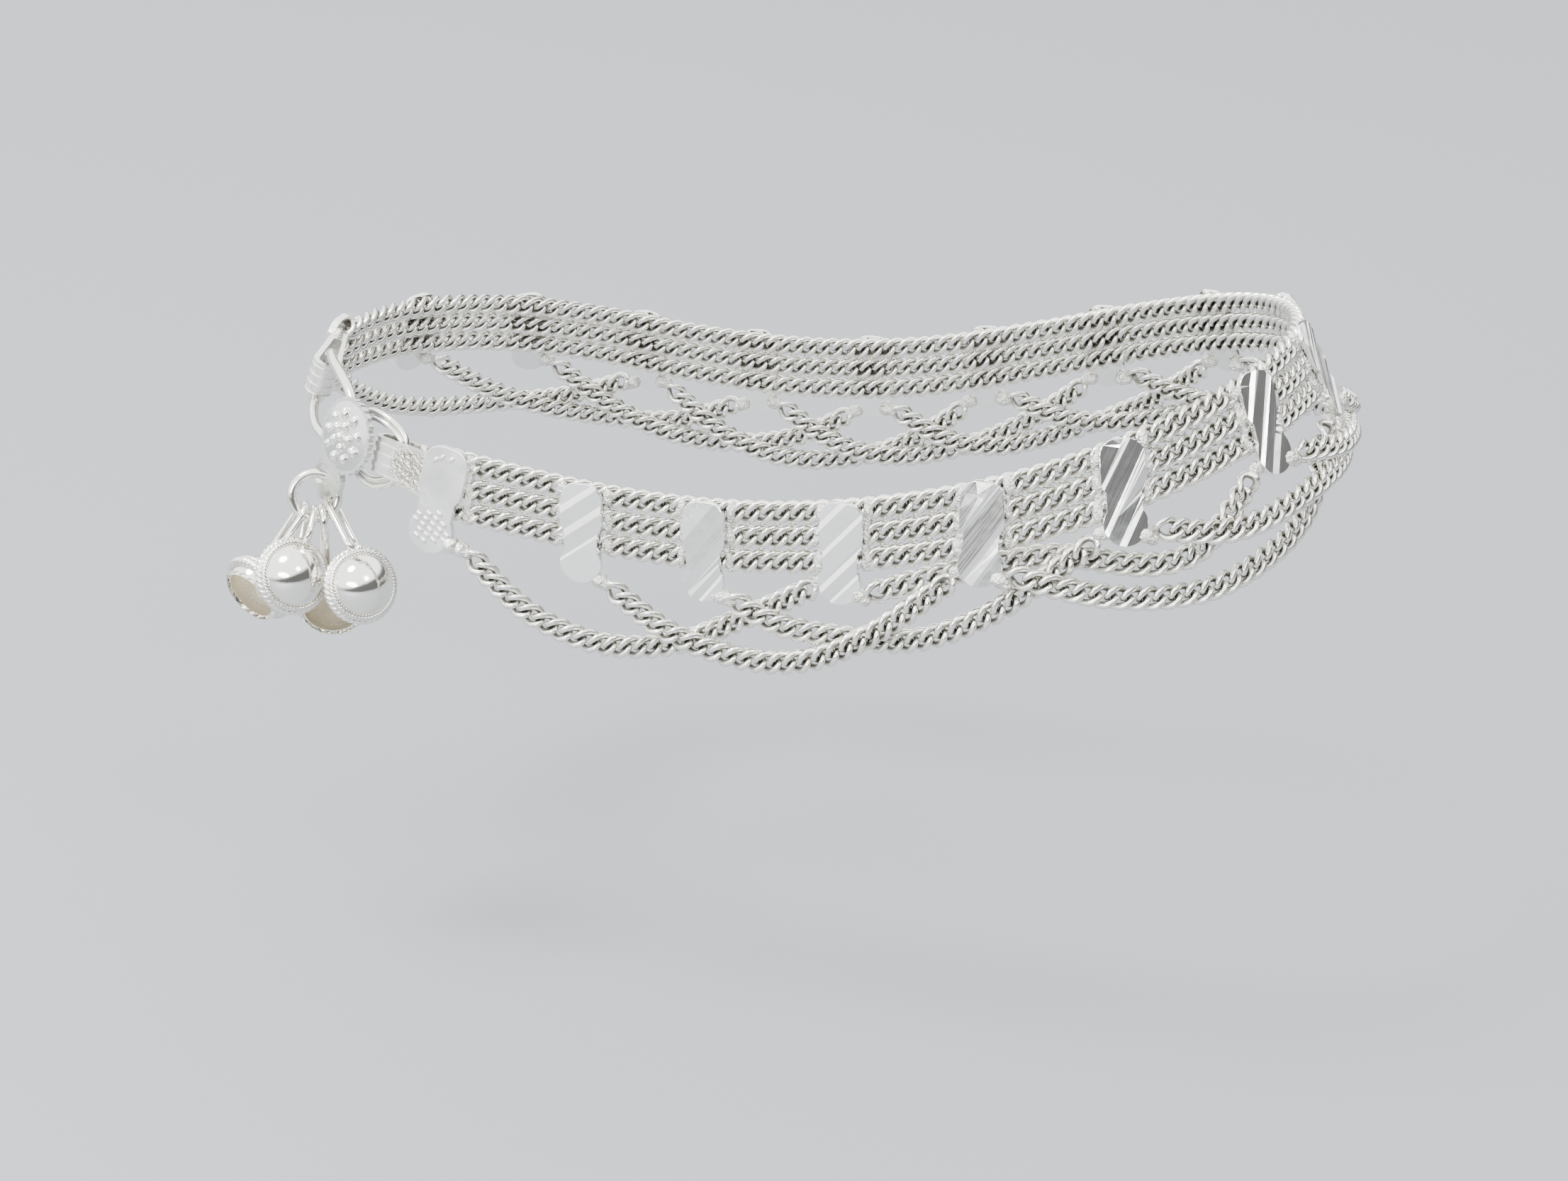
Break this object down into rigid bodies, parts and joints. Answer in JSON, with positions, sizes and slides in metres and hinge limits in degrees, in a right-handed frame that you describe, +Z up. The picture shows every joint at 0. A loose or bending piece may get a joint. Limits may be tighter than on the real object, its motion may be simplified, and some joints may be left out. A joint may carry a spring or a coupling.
{
  "type": "payal anklet with ghungroo bells",
  "caption": "Silver payal anklet: a triple curb chain under soldered plates with crossing swags, an S-hook with a medallion and a cluster of small open bells.",
  "frame": {"origin": "middle of the ankle opening, at the height of the middle chain", "axes": "+X from the heel to the instep, -Y the outer side of the ankle, +Z up the leg"},
  "size_m": [0.1113, 0.0598, 0.0353],
  "materials": {
    "chain_silver": "polished silver wire",
    "plate_silver": "silver with bright diamond cuts and frosted solder",
    "hook_silver": "satin and polished silver",
    "bell_silver": "mirror-polished silver"
  },
  "bodies": {
    "root": {"bell_front": "bell_silver", "bell_left": "bell_silver", "bell_lower": "bell_silver", "bell_right": "bell_silver", "chain_bottom": "chain_silver", "chain_middle": "chain_silver", "chain_top": "chain_silver", "jump_ring": "hook_silver", "plate_00": "plate_silver", "plate_01": "plate_silver", "plate_02": "plate_silver", "plate_03": "plate_silver", "plate_04": "plate_silver", "plate_05": "plate_silver", "plate_06": "plate_silver", "plate_07": "plate_silver", "plate_08": "plate_silver", "plate_09": "plate_silver", "plate_10": "plate_silver", "plate_11": "plate_silver", "plate_12": "plate_silver", "plate_13": "plate_silver", "plate_14": "plate_silver", "plate_15": "plate_silver", "plate_16": "plate_silver", "plate_17": "plate_silver", "s_hook": "hook_silver", "swag_00": "chain_silver", "swag_01": "chain_silver", "swag_02": "chain_silver", "swag_03": "chain_silver", "swag_04": "chain_silver", "swag_05": "chain_silver", "swag_06": "chain_silver", "swag_07": "chain_silver", "swag_08": "chain_silver", "swag_09": "chain_silver", "swag_10": "chain_silver", "swag_11": "chain_silver", "swag_12": "chain_silver", "swag_13": "chain_silver", "swag_14": "chain_silver"}
  },
  "joints": []
}
